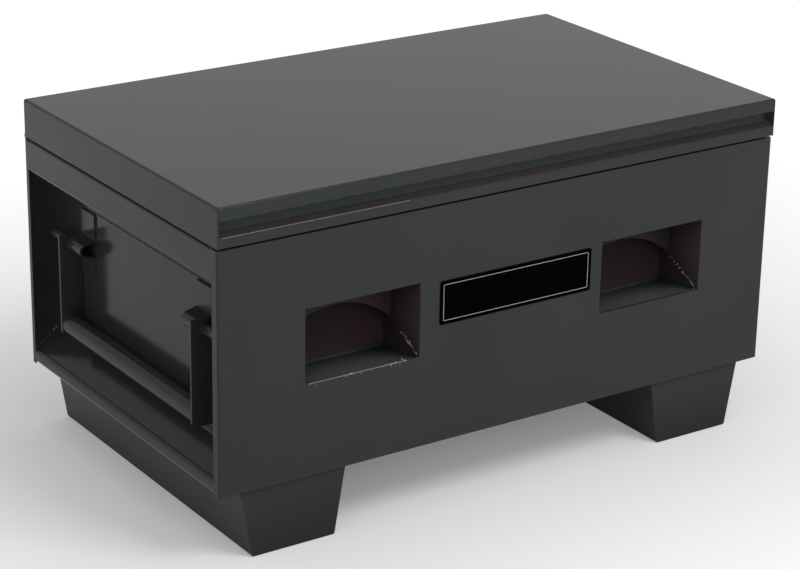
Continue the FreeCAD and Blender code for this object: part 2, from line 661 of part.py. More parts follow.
def stay_bracket():
    """The angle bracket under the lid that carries the arm's bolt."""
    pivot = stay_point(STAY_PIVOT_ANGLE)
    front = pivot.x - BRACKET_HALF_WIDTH
    rear = pivot.x + BRACKET_HALF_WIDTH
    low = pivot.y - BRACKET_HALF_WIDTH
    corners = [(front, low + BRACKET_CHAMFER), (front + BRACKET_CHAMFER, low), (rear - BRACKET_CHAMFER, low),
               (rear, low + BRACKET_CHAMFER), (rear, LID_UNDERSIDE), (front, LID_UNDERSIDE)]
    x0 = STAY_PLANE + STAY_THICKNESS + STAY_SIDE_GAP
    x1 = x0 + BRACKET_SHEET
    web = along_x(polygon_face(corners), x0, x1)
    foot = block(x1, x1 + BRACKET_FOOT, front, rear, LID_UNDERSIDE - BRACKET_SHEET, LID_UNDERSIDE)
    hole = rod(Vector(x0, pivot.x, pivot.y), Vector(1, 0, 0), STAY_PIN_RADIUS, BRACKET_SHEET)
    return fuse(web, foot).cut(hole)


# ---- bail handles (left end) ----
def handle_arm(y0):
    """One flat arm, hung from its pivot and carrying one end of the grip."""
    inside = HANDLE_ARM_HEAD - HANDLE_PIVOT_X
    outside = inside - HANDLE_ARM_WIDTH
    top = HANDLE_PIVOT_Z + HANDLE_ARM_HEAD
    end_z = GRIP_Z - HANDLE_ARM_TAIL
    chamfer = HANDLE_ARM_CHAMFER
    corners = [(outside, end_z + chamfer), (outside + chamfer, end_z), (inside - chamfer, end_z),
               (inside, end_z + chamfer), (inside, top), (outside, top)]
    outline = rounded_face(corners, [0, 0, 0, 0, HANDLE_ARM_HEAD, 0])
    pivot = Vector(-HANDLE_PIVOT_X, y0, HANDLE_PIVOT_Z)
    hole = rod(pivot, Vector(0, 1, 0), PIVOT_RADIUS, HANDLE_ARM_THICKNESS)
    return along_y(outline, y0, y0 + HANDLE_ARM_THICKNESS).cut(hole)


def handle_grip():
    """The round tube between the arms."""
    start = Vector(-HANDLE_PIVOT_X - GRIP_OFFSET, -ARM_INSIDE, GRIP_Z)
    tube = rod(start, Vector(0, 1, 0), GRIP_RADIUS, 2 * ARM_INSIDE)
    return tube.cut(rod(start, Vector(0, 1, 0), GRIP_RADIUS - GRIP_WALL, 2 * ARM_INSIDE))


def pivot_pin(side):
    """A pin welded through an arm: its inner end turns in the saddle."""
    inner_end = ARM_INSIDE - PIVOT_INNER_REACH
    outer_end = HALF_DEPTH - PIVOT_END_GAP
    start = Vector(-HANDLE_PIVOT_X, side * inner_end, HANDLE_PIVOT_Z)
    return rod(start, Vector(0, side, 0), PIVOT_RADIUS, outer_end - inner_end)


def leg_height(radius):
    """How far above the pivot a saddle leg, tangent to a circle about it, meets the end panel."""
    splay = math.radians(SADDLE_SPLAY_ANGLE)
    return (radius + (HANDLE_PIVOT_X - END_OUTSIDE) * math.sin(splay)) / math.cos(splay)


def saddle_outline(radius):
    """A round nose about the pivot with two legs that splay back to the end panel."""
    splay = math.radians(SADDLE_SPLAY_ANGLE)
    tangent_x = -HANDLE_PIVOT_X - radius * math.sin(splay)
    tangent_rise = radius * math.cos(splay)
    rise = leg_height(radius)
    nose = rod(Vector(-HANDLE_PIVOT_X, SADDLE_START, HANDLE_PIVOT_Z), Vector(0, 1, 0), radius, SADDLE_WIDTH)
    legs = polygon_face([(tangent_x, HANDLE_PIVOT_Z - tangent_rise), (-END_OUTSIDE, HANDLE_PIVOT_Z - rise),
                         (-END_OUTSIDE, HANDLE_PIVOT_Z + rise), (tangent_x, HANDLE_PIVOT_Z + tangent_rise)])
    return fuse(nose, along_y(legs, SADDLE_START, SADDLE_END))


def handle_saddle():
    """The rear saddle: a strip bent over the pin, with two flat feet welded to the end panel."""
    outer = saddle_outline(SADDLE_BORE + SADDLE_SHEET)
    feet = block(-END_OUTSIDE - SADDLE_SHEET, -END_OUTSIDE, SADDLE_START, SADDLE_END,
                 HANDLE_PIVOT_Z - SADDLE_LOWER_REACH, HANDLE_PIVOT_Z + SADDLE_UPPER_REACH)
    return fuse(outer, feet).cut(saddle_outline(SADDLE_BORE))


def handle_pieces():
    """Every piece of the left handle and its saddles, by name."""
    return {
        "handle_arm_front": handle_arm(-ARM_OUTSIDE),
        "handle_arm_rear": handle_arm(ARM_INSIDE),
        "handle_grip": handle_grip(),
        "handle_pins": Part.makeCompound([pivot_pin(-1), pivot_pin(1)]),
        "saddles": Part.makeCompound([handle_saddle(), mirrored_y(handle_saddle())]),
    }


# ---- skids (left) ----
def skid_corners(z_top):
    """The left skid's four outline corners in (X, Z), wide at the top and narrow on the floor."""
    outer_top = SKID_INSET - HALF_LENGTH
    inner_top = outer_top + SKID_TOP_WIDTH
    return [(outer_top, z_top), (outer_top + SKID_TAPER, 0), (inner_top - SKID_TAPER, 0), (inner_top, z_top)]


def skid():
    """The left skid: a hat section with its flanges against the bottom of the box."""
    flange_z = SKID_HEIGHT - SKID_SHEET
    corners = skid_corners(flange_z)
    path = [(corners[0][0] - SKID_FLANGE, flange_z), *corners, (corners[3][0] + SKID_FLANGE, flange_z)]
    half = HALF_DEPTH - SKID_SETBACK - SKID_SHEET
    bends = [SKID_FLANGE_BEND, SKID_BEND, SKID_BEND, SKID_FLANGE_BEND]
    return along_y(sheet_face(path, SKID_SHEET, *bends), -half, half)


def skid_cap():
    """The flat plate that closes the front end of the left skid."""
    outline = rounded_face(skid_corners(SKID_HEIGHT), [0, SKID_BEND + SKID_SHEET, SKID_BEND + SKID_SHEET, 0])
    front = FRONT_FACE + SKID_SETBACK
    return along_y(outline, front, front + SKID_SHEET)


# ---- small parts ----
def label_plate():
    """The blank plate on the front panel."""
    bottom = POCKET_BOTTOM + LABEL_RISE
    outline = rectangle_face(LABEL_SHIFT - LABEL_WIDTH / 2, LABEL_SHIFT + LABEL_WIDTH / 2,
                             bottom, bottom + LABEL_HEIGHT, LABEL_CORNER)
    return along_y(outline, FRONT_FACE - LABEL_THICKNESS, FRONT_FACE)


def rim_bumpers():
    """Four rubber pads in the seam: two on the front rim and one on each end header."""
    top = BODY_TOP + BUMPER_HEIGHT
    front_x = BUMPER_END_DISTANCE - HALF_LENGTH
    front_y = FRONT_FACE + BUMPER_INSET
    side_x = BUMPER_INSET - HALF_LENGTH
    front_pad = block(front_x, front_x + BUMPER_LENGTH, front_y, front_y + BUMPER_WIDTH, BODY_TOP, top)
    side_pad = block(side_x, side_x + BUMPER_WIDTH, BUMPER_SIDE_OFFSET, BUMPER_SIDE_OFFSET + BUMPER_LENGTH,
                     BODY_TOP, top)
    return Part.makeCompound([front_pad, side_pad, mirrored_x(front_pad), mirrored_x(side_pad)])


def all_nodes():
    """Every node of the box, by name."""
    nodes = {
        "front_panel": front_panel(),
        "rear_panel": rear_panel(),
        "bottom_panel": bottom_panel(),
        "label_plate": label_plate(),
        "rim_bumpers": rim_bumpers(),
        "lid_shell": lid_shell(),
        "lid_front_channel": lid_front_channel(),
        "lid_stiffener_front": lid_stiffener(-STIFFENER_SPACING / 2),
        "lid_stiffener_rear": lid_stiffener(STIFFENER_SPACING / 2),
        "hinge_leaf_box": hinge_leaf(BODY_TOP, 0, HINGE_PIN_RADIUS),
        "hinge_leaf_lid": hinge_leaf(LID_BOTTOM - HINGE_LEAF, 1, HINGE_PIN_RADIUS + HINGE_RUNNING_CLEARANCE),
        "hinge_pin": hinge_pin(),
        "stay_arm": stay_arm(),
        "stay_stud": stay_stud(),
        "stay_bracket": stay_bracket(),
        "stay_bolt": stay_bolt(),
    }
    for side, centre in POCKET_CENTRES.items():
        nodes["lock_box_" + side] = lock_box(centre)
        nodes["lock_hood_" + side] = lock_hood(centre)
        nodes["lock_plate_" + side] = lock_plate(centre)
        nodes["hasp_tongue_" + side] = hasp_tongue(centre)
    left_end = {
        "end_header": end_header(),
        "end_panel": end_panel(),
        "end_sill": end_sill(),
        "skid": skid(),
        "skid_cap_front": skid_cap(),
        "skid_cap_rear": mirrored_y(skid_cap()),
        **handle_pieces(),
    }
    for name, shape in left_end.items():
        nodes[name + "_left"] = shape
        nodes[name + "_right"] = mirrored_x(shape)
    return nodes


def export(nodes):
    """Write one STEP file per node, in the frame whose origin is under the middle of the box."""
    os.makedirs("parts", exist_ok=True)
    for name, shape in nodes.items():
        placed = shape.copy()
        placed.translate(Vector(0, -ORIGIN_Y, 0))
        placed.exportStep("parts/" + name + ".step")


export(all_nodes())
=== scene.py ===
import json
import math
import random

import bmesh
import bpy
from mathutils import Matrix, Vector


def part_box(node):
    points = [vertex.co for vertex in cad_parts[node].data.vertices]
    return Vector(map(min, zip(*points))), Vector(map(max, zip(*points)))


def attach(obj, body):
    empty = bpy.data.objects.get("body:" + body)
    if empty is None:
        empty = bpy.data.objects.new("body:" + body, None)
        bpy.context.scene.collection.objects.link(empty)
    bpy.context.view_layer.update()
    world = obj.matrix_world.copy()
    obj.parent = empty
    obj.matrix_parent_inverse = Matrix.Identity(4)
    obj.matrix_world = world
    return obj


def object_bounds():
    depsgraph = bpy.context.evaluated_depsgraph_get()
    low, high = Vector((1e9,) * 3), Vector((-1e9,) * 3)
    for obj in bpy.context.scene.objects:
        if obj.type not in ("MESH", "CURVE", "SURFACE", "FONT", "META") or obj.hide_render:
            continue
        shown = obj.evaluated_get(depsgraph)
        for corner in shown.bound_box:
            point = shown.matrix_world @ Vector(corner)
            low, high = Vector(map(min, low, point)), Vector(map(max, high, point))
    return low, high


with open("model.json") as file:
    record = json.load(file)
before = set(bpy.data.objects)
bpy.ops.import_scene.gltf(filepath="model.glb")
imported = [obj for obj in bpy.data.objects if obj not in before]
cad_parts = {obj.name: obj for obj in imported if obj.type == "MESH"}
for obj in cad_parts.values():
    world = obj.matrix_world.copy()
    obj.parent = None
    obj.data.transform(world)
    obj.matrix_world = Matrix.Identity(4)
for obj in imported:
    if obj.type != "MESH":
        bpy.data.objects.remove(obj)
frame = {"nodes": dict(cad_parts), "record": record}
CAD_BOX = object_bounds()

# Looks of the steel jobsite storage box, in metres: +X to the right, +Y to the rear, +Z up.
MM = 0.001

# ---- camera ----
CAMERA_PLACE = Vector((-1.7078, -2.5267, 1.3644))
CAMERA_AZIMUTH = math.radians(-34.111)
CAMERA_ELEVATION = math.radians(21.051)
CAMERA_ROLL = math.radians(0.993)
CAMERA_LENS_MM = 113.87
CAMERA_SENSOR_MM = 36.0
CAMERA_CLIP = (0.1, 60.0)

# ---- light ----
# The surround's strength as a light, and as it is seen at the horizon and higher up.
WORLD_FILL = 0.44
WORLD_SEEN = (1.0, 0.76)
WORLD_SEEN_RISE = (0.03, 0.2)
# The floor's glow near the box and farther out, and the distances from the box's sides where it turns; the
# weak glow near and under the box is a painted contact shadow, which the box also shows in its reflections.
FLOOR_GREY = 0.8
FLOOR_GLOW = (0.17, 0.6)
FLOOR_GLOW_REACH = (-0.15, 1.0)
FLOOR_HALF_SIZE = 8.0
FLOOR_DROP = 0.5 * MM
FOOTPRINT_BLEND = 0.2
# Each lamp's name, place, aim, side and watts.
LAMPS = (
    ("lamp_key", (0.6, -1.85, 2.6), (0, 0, 0.2), 1.2, 30),
    ("lamp_low", (-0.4, -2.8, 1.5), (0, 0, 0.25), 0.9, 7),
    ("lamp_fill", (-2.4, -1.6, 1.2), (0, 0, 0.2), 1.6, 3),
)

# ---- paint colours ----
COAT_COLOUR = (0.043, 0.035, 0.0385)
# The pockets' inside: a copy of the coat painted lighter as fill light, with a maroon cast that stands in for
# shade.
INNER_FILL_AND_SHADE_COLOUR = (0.076, 0.055, 0.063)
# The lock box's floor, painted a lighter grey as if lit.
LOCK_BOX_PAINTED_LIGHT_COLOUR = (0.084, 0.093, 0.096)
# The maroon painted shade on the lock box's walls, and how much darker it gets at their top.
PAINTED_SHADE_COLOUR = (0.07, 0.042, 0.052)
PAINTED_SHADE_TONE = 0.25
DARK_COLOUR = (0.009, 0.007, 0.008)
BARE_COLOUR = (0.42, 0.42, 0.41)
BRIGHT_TONE = 1.8
# The light tone of the chipped left pocket edge and of the painted highlight along the lid's shelf edge.
WORN_AND_HIGHLIGHT_TONE = 0.45

# ---- paint gloss ----
COAT_IOR = 1.27
COAT_SPECULAR_TINT = (0.32, 0.9, 0.74, 1.0)
# Reflections inside the pockets are dimmed, as painted shade.
INNER_SHADED_SPECULAR_TINT = (0.1, 0.2, 0.16, 1.0)
SHELL_ROUGHNESS = 0.16
SKID_ROUGHNESS = 0.18
HANDLE_ROUGHNESS = 0.22
INNER_ROUGHNESS = 0.4
ROUGHNESS_SPREAD = 0.03

# ---- painted shade in hollows: how far round a place it is felt, and the tone it paints there ----
COAT_SHADE_REACH = 16.0 * MM
INNER_SHADE_REACH = 60.0 * MM
# The skids' long reach paints them darker towards the floor, as shade.
SKID_SHADE_REACH = 100.0 * MM
COAT_HOLLOW_SHADE = 0.85
# Above 1, the shell's hollows are painted lighter, as fill light.
SHELL_HOLLOW_FILL_LIGHT = 1.5
SKID_HOLLOW_SHADE = 0.7
HOOD_HOLLOW_SHADE = 0.3
LOCK_BOX_HOLLOW_SHADE = 0.4
SHADE_OCCLUSION_RANGE = (0.3, 0.95)
HOLLOW_SHADED_GLOSS = (0.1, 0.5)
OPEN_SAMPLES = 6

# ---- paint texture: noise scales per metre, ranges of the noise, shares, tones and depths ----
BLOTCH_SCALE = 5.0
BLOTCH_RANGE = (0.1, 0.9)
BLOTCH_TONES = (0.85, 1.15)
SHEEN_SCALE = 14.0
# Edges lightened as by rubbing and as painted edge highlights: noise scale, range, share, edge radius and
# tone.
WEAR_HIGHLIGHT_SCALE = 70.0
WEAR_HIGHLIGHT_RANGE = (0.4, 0.75)
WEAR_HIGHLIGHT_SHARE = (0.1, 1.0)
WEAR_HIGHLIGHT_RADIUS = 0.9 * MM
WEAR_HIGHLIGHT_TONE = 2.6
EDGE_TURN = (0.98, 0.75)
EDGE_SAMPLES = 4
ORANGE_PEEL_SCALE = 320.0
ORANGE_PEEL_DEPTH = 0.03 * MM
GRAIN_SCALE = 1100.0
GRAIN_RANGE = (0.5, 0.8)
GRAIN_SHARE = (0.0, 0.1)
GRAIN_TONE = 1.5
GRAIN_DEPTH = 0.006 * MM
PRINT_SCALE = 900.0
PRINT_DEPTH = 0.01 * MM
CHIP_SOFTNESS = 0.05

# ---- label ----
BORDER_INSET = 4.7 * MM
BORDER_WIDTH = 0.5 * MM
BORDER_CORNER = 1.6 * MM
BORDER_RISE = 0.12 * MM
CORNER_STEPS = 8

# ---- sheet-metal sizes ----
SADDLE_WIDTH = 35.0 * MM
SADDLE_SHEET = 2.5 * MM
SILL_LIP = 3.6 * MM
FOOT_START = 15.2 * MM
FOOT_RISE = 26.8 * MM
HEADER_BEND = 5.5 * MM
HOOD_SHEET = 3.0 * MM
HOOD_RISE = 29.0 * MM
HOOD_SAG = 3.0 * MM
ARCH_RISE = 34.0 * MM
POCKET_DROP = 1.5 * MM
LOCK_FLOOR_FALL = 0.155
# Rises above the lock box's floor where its painted shade starts, turns fully maroon and is darkest.
LOCK_BOX_SHADE_RISES = (1.5 * MM, 13.0 * MM, 82.0 * MM)

# ---- beads: their make, their radii and how lumpy they are ----
BEAD_STEP = 0.7 * MM
BEAD_PITCH = 2.6 * MM
BEAD_SIDES = 8
BEAD_JITTER = 0.5
BEAD_WANDER = 0.3
BEAD_END = 0.4
CURVE_STEPS = 40
PIN_WELD = 1.3 * MM
GRIP_WELD = 1.2 * MM
SADDLE_WELD = 1.4 * MM
FOOT_WELD = 1.5 * MM
HEADER_WELD = 1.1 * MM
LIP_SEAM = 0.75 * MM
HEADER_GAP_SHADOW = 0.7 * MM
CHEEK_CUT = 0.8 * MM
CHEEK_EDGE = 0.7 * MM
ARCH_CUT = 1.1 * MM
SILL_EDGE = 0.7 * MM
SHELF_HIGHLIGHT = 0.5 * MM
SLIGHT = 0.15
EVEN = 0.2
WELDED = 0.35
ROUGH = 0.5
TORN = 0.6
RAGGED = 0.9

# ---- where beads lie ----
HEADER_WELD_SINK = 1.5 * MM
HEADER_WELD_DROP = 2.0 * MM
# The dark line under the header, partly its gap and partly painted shadow.
HEADER_SEAM_SINK = 1.2 * MM
HEADER_SEAM_RISE = 0.1 * MM
HEADER_SEAM_START = 3.0 * MM
HEADER_SEAM_END = 330.0 * MM
LIP_SEAM_SINK = 1.0 * MM
LIP_SEAM_DROP = 0.6 * MM
LIP_SEAM_INSET = 2.0 * MM
CUT_SINK = 0.4 * MM
CUT_BRIGHT_SHARE = {"left": 0.6, "right": 0.95}
SILL_EDGE_REACH = (-0.95, 0.78)
# Where the painted highlight along the lid's shelf edge lies.
SHELF_EDGE_SINK = 0.6 * MM
SHELF_EDGE_INSET = 5.0 * MM
SHELF_EDGE_DROP = 36.2 * MM
SHELF_EDGE_END = -150.0 * MM

# ---- spatter: droplet sizes, counts and how far they stray ----
SPATTER_SIZES = (0.3 * MM, 0.85 * MM)
FOOT_SPATTER = 30
FOOT_SPREAD = (1.4 * MM, 0.2 * MM, 1.4 * MM)
CHEEK_SPATTER = 45
CHEEK_SPREAD = (0.2 * MM, 2.2 * MM, 1.4 * MM)
SILL_SPATTER = 30
SILL_SPREAD = (1.0 * MM, 0.2 * MM, 1.4 * MM)

# The nodes that don't take the finish of their material slot, by their name without its last word; they are
# copies of the coat that differ in painted shade and painted light.
FAMILY_LOOKS = {
    "lid_front": "channel_coat",
    "skid": "skid_coat",
    "skid_cap_front": "skid_coat",
    "skid_cap_rear": "skid_coat",
    "lock_hood": "hood_painted_light_coat",
    "lock_box": "lock_box_painted_light_coat",
}


# ---- node helpers ----
def new_material(name):
    """An empty node material and its output node."""
    material = bpy.data.materials.new(name)
    material.use_nodes = True
    material.node_tree.nodes.clear()
    output = material.node_tree.nodes.new("ShaderNodeOutputMaterial")
    return material, output


def map_range(tree, value, source, target=(0.0, 1.0)):
    """A Map Range node that moves a value from one range to another."""
    node = tree.nodes.new("ShaderNodeMapRange")
    for name, number in zip(("From Min", "From Max", "To Min", "To Max"), (*source, *target)):
        node.inputs[name].default_value = number
    tree.links.new(value, node.inputs["Value"])
    return node


def math_value(tree, operation, *values):
    """The result of a Math node that is fed with sockets and numbers."""
    node = tree.nodes.new("ShaderNodeMath")
    node.operation = operation
    for socket, value in zip(node.inputs, values):
        if isinstance(value, (int, float)):
            socket.default_value = value
        else:
            tree.links.new(value, socket)
    return node.outputs[0]


def seen_directly(tree):
    """1 for camera, glossy and transmission rays, 0 for the rays that carry light."""
    path = tree.nodes.new("ShaderNodeLightPath").outputs
    seen = math_value(tree, "MAXIMUM", path["Is Camera Ray"], path["Is Glossy Ray"])
    return math_value(tree, "MAXIMUM", seen, path["Is Transmission Ray"])


# ---- camera and stage ----
def make_camera():
    """A long lens, from the front left and above."""
    data = bpy.data.cameras.new("camera")
    data.lens = CAMERA_LENS_MM
    data.sensor_width = CAMERA_SENSOR_MM
    data.sensor_fit = "HORIZONTAL"
    data.clip_start, data.clip_end = CAMERA_CLIP
    back = Vector((math.sin(CAMERA_AZIMUTH) * math.cos(CAMERA_ELEVATION),
                   -math.cos(CAMERA_AZIMUTH) * math.cos(CAMERA_ELEVATION),
                   math.sin(CAMERA_ELEVATION)))
    level = Vector((math.cos(CAMERA_AZIMUTH), math.sin(CAMERA_AZIMUTH), 0.0))
    upright = back.cross(level)
    right = level * math.cos(CAMERA_ROLL) + upright * math.sin(CAMERA_ROLL)
    up = upright * math.cos(CAMERA_ROLL) - level * math.sin(CAMERA_ROLL)
    camera = bpy.data.objects.new("camera", data)
    turn = Matrix((right, up, back)).transposed().to_4x4()
    camera.matrix_world = Matrix.Translation(CAMERA_PLACE) @ turn
    bpy.context.scene.collection.objects.link(camera)
    bpy.context.scene.camera = camera


def make_world():
    """A white surround where it is seen or mirrored, and a soft fill for everything else."""
    world = bpy.data.worlds.new("studio")
    bpy.context.scene.world = world
    world.use_nodes = True
    tree = world.node_tree
    tree.nodes.clear()
    direction = tree.nodes.new("ShaderNodeTexCoord")
    split = tree.nodes.new("ShaderNodeSeparateXYZ")
    tree.links.new(direction.outputs["Generated"], split.inputs[0])
    seen = map_range(tree, split.outputs["Z"], WORLD_SEEN_RISE, WORLD_SEEN)
    seen.interpolation_type = "SMOOTHSTEP"
    strength = map_range(tree, seen_directly(tree), (0.0, 1.0), (WORLD_FILL, 1.0))
    tree.links.new(seen.outputs["Result"], strength.inputs["To Max"])
    background = tree.nodes.new("ShaderNodeBackground")
    background.inputs["Color"].default_value = (1, 1, 1, 1)
    tree.links.new(strength.outputs["Result"], background.inputs["Strength"])
    output = tree.nodes.new("ShaderNodeOutputWorld")
    tree.links.new(background.outputs[0], output.inputs["Surface"])


def footprint_distance(tree):
    """How far a place on the floor lies outside the box's footprint, and below 0 under the box."""
    place = tree.nodes.new("ShaderNodeTexCoord")
    split = tree.nodes.new("ShaderNodeSeparateXYZ")
    tree.links.new(place.outputs["Object"], split.inputs[0])
    beyond = []
    for axis in range(2):
        reach = math_value(tree, "ABSOLUTE", split.outputs[axis])
        beyond.append(math_value(tree, "SUBTRACT", reach, CAD_BOX[1][axis]))
    return math_value(tree, "SMOOTH_MAX", *beyond, FOOTPRINT_BLEND)


def floor_material():
    """A pale floor that keeps the shadow and glows to white farther out, where it is seen; near and under the
    box its glow is dimmed as a painted contact shadow.
    """
    material, output = new_material("floor")
    tree = material.node_tree
    diffuse = tree.nodes.new("ShaderNodeBsdfDiffuse")
    diffuse.inputs["Color"].default_value = (FLOOR_GREY, FLOOR_GREY, FLOOR_GREY, 1)
    # Painted contact shadow: the glow is weakest under the box and grows with the distance from its sides.
    spread = map_range(tree, footprint_distance(tree), FLOOR_GLOW_REACH, FLOOR_GLOW)
    strength = math_value(tree, "MULTIPLY", spread.outputs["Result"], seen_directly(tree))
    glow = tree.nodes.new("ShaderNodeEmission")
    tree.links.new(strength, glow.inputs["Strength"])
    both = tree.nodes.new("ShaderNodeAddShader")
    tree.links.new(diffuse.outputs[0], both.inputs[0])
    tree.links.new(glow.outputs[0], both.inputs[1])
    tree.links.new(both.outputs[0], output.inputs["Surface"])
    return material


def make_floor():
    """A large square floor, just under the skids."""
    corners = [(x * FLOOR_HALF_SIZE, y * FLOOR_HALF_SIZE, 0) for x, y in ((-1, -1), (1, -1), (1, 1), (-1, 1))]
    mesh = bpy.data.meshes.new("floor")
    mesh.from_pydata(corners, [], [(0, 1, 2, 3)])
    mesh.materials.append(floor_material())
    floor = bpy.data.objects.new("floor", mesh)
    floor.location.z = -FLOOR_DROP
    bpy.context.scene.collection.objects.link(floor)


def make_lamp(name, place, aim, size, watts):
    """A large soft square lamp aimed at a point."""
    data = bpy.data.lights.new(name, "AREA")
    data.shape = "SQUARE"
    data.size = size
    data.energy = watts
    lamp = bpy.data.objects.new(name, data)
    lamp.location = place
    lamp.rotation_mode = "QUATERNION"
    lamp.rotation_quaternion = (Vector(aim) - Vector(place)).to_track_quat("-Z", "Y")
    bpy.context.scene.collection.objects.link(lamp)


def make_stage():
    """Camera, surround, floor and lamps, with colours shown as they are."""
    bpy.context.scene.view_settings.view_transform = "Standard"
    make_camera()
    make_world()
    make_floor()
    for lamp in LAMPS:
        make_lamp(*lamp)


# ---- materials ----
class Shader:
    """A Principled material that is put together step by step."""

    def __init__(self, name):
        self.material, output = new_material(name)
        self.tree = self.material.node_tree
        self.surface = self.tree.nodes.new("ShaderNodeBsdfPrincipled")
        self.tree.links.new(self.surface.outputs[0], output.inputs["Surface"])
        self.place = self.tree.nodes.new("ShaderNodeTexCoord").outputs["Object"]

    def set(self, **sockets):
        """Constants on the shader's own sockets."""
        for name, value in sockets.items():
            self.surface.inputs[name.replace("_", " ")].default_value = value

    def noise(self, scale, detail=2.0, roughness=0.5, stretch=None):
        """Noise between 0 and 1 in the object's own metres."""
        texture = self.tree.nodes.new("ShaderNodeTexNoise")
        texture.inputs["Scale"].default_value = scale
        texture.inputs["Detail"].default_value = detail
        texture.inputs["Roughness"].default_value = roughness
        place = self.place
        if stretch:
            mapping = self.tree.nodes.new("ShaderNodeMapping")
            mapping.inputs["Scale"].default_value = stretch
            self.tree.links.new(place, mapping.inputs["Vector"])
            place = mapping.outputs["Vector"]
        self.tree.links.new(place, texture.inputs["Vector"])
        return texture.outputs["Fac"]

    def remap(self, value, source, target=(0.0, 1.0)):
        """A value's range moved to another range."""
        return map_range(self.tree, value, source, target).outputs["Result"]

    def product(self, first, second):
        """Two values multiplied."""
        return math_value(self.tree, "MULTIPLY", first, second)

    def mix(self, share, first, second):
        """Two colours mixed by a share from 0 to 1."""
        node = self.tree.nodes.new("ShaderNodeMix")
        node.data_type = "RGBA"
        self.tree.links.new(share, node.inputs["Factor"])
        for socket, value in ((node.inputs[6], first), (node.inputs[7], second)):
            if isinstance(value, tuple):
                socket.default_value = (*value[:3], 1.0)
            else:
                self.tree.links.new(value, socket)
        return node.outputs[2]

    def height(self, fall):
        """The height, measured along a floor that falls to the rear, in metres."""
        along = self.tree.nodes.new("ShaderNodeVectorMath")
        along.operation = "DOT_PRODUCT"
        self.tree.links.new(self.place, along.inputs[0])
        along.inputs[1].default_value = (0, fall, 1)
        return along.outputs["Value"]

    def openness(self, reach):
        """1 on open faces, less in corners and hollows; it steers painted shade."""
        node = self.tree.nodes.new("ShaderNodeAmbientOcclusion")
        node.samples = OPEN_SAMPLES
        node.inputs["Distance"].default_value = reach
        return node.outputs["AO"]

    def edges(self, radius):
        """1 on outer and inner edges, 0 on flat faces."""
        bevel = self.tree.nodes.new("ShaderNodeBevel")
        bevel.samples = EDGE_SAMPLES
        bevel.inputs["Radius"].default_value = radius
        geometry = self.tree.nodes.new("ShaderNodeNewGeometry")
        dot = self.tree.nodes.new("ShaderNodeVectorMath")
        dot.operation = "DOT_PRODUCT"
        self.tree.links.new(bevel.outputs["Normal"], dot.inputs[0])
        self.tree.links.new(geometry.outputs["Normal"], dot.inputs[1])
        return self.remap(dot.outputs["Value"], EDGE_TURN)

    def bump(self, *layers):
        """Heights, each with its depth in metres, added up and given to the normal."""
        normal = None
        for height, depth in layers:
            node = self.tree.nodes.new("ShaderNodeBump")
            node.inputs["Distance"].default_value = depth
            self.tree.links.new(height, node.inputs["Height"])
            if normal is not None:
                self.tree.links.new(normal, node.inputs["Normal"])
            normal = node.outputs["Normal"]
        self.tree.links.new(normal, self.surface.inputs["Normal"])

    def colour(self, value):
        self.tree.links.new(value, self.surface.inputs["Base Color"])

    def roughness(self, value):
        self.tree.links.new(value, self.surface.inputs["Roughness"])

    def gloss(self, value):
        self.tree.links.new(value, self.surface.inputs["Specular IOR Level"])


def scaled(colour, factor):
    """A colour made lighter or darker."""
    return tuple(channel * factor for channel in colour)


def shaded_upwards(paint, tone, levels):
    """Painted shade: a tone that turns to the maroon shade colour between the first two levels and darkens
    further up to the third.
    """
    low, middle, high = levels
    height = paint.height(LOCK_FLOOR_FALL)
    shaded = paint.mix(paint.remap(height, (middle, high)), PAINTED_SHADE_COLOUR, scaled(PAINTED_SHADE_COLOUR, PAINTED_SHADE_TONE))
    return paint.mix(paint.remap(height, (low, middle)), tone, shaded)


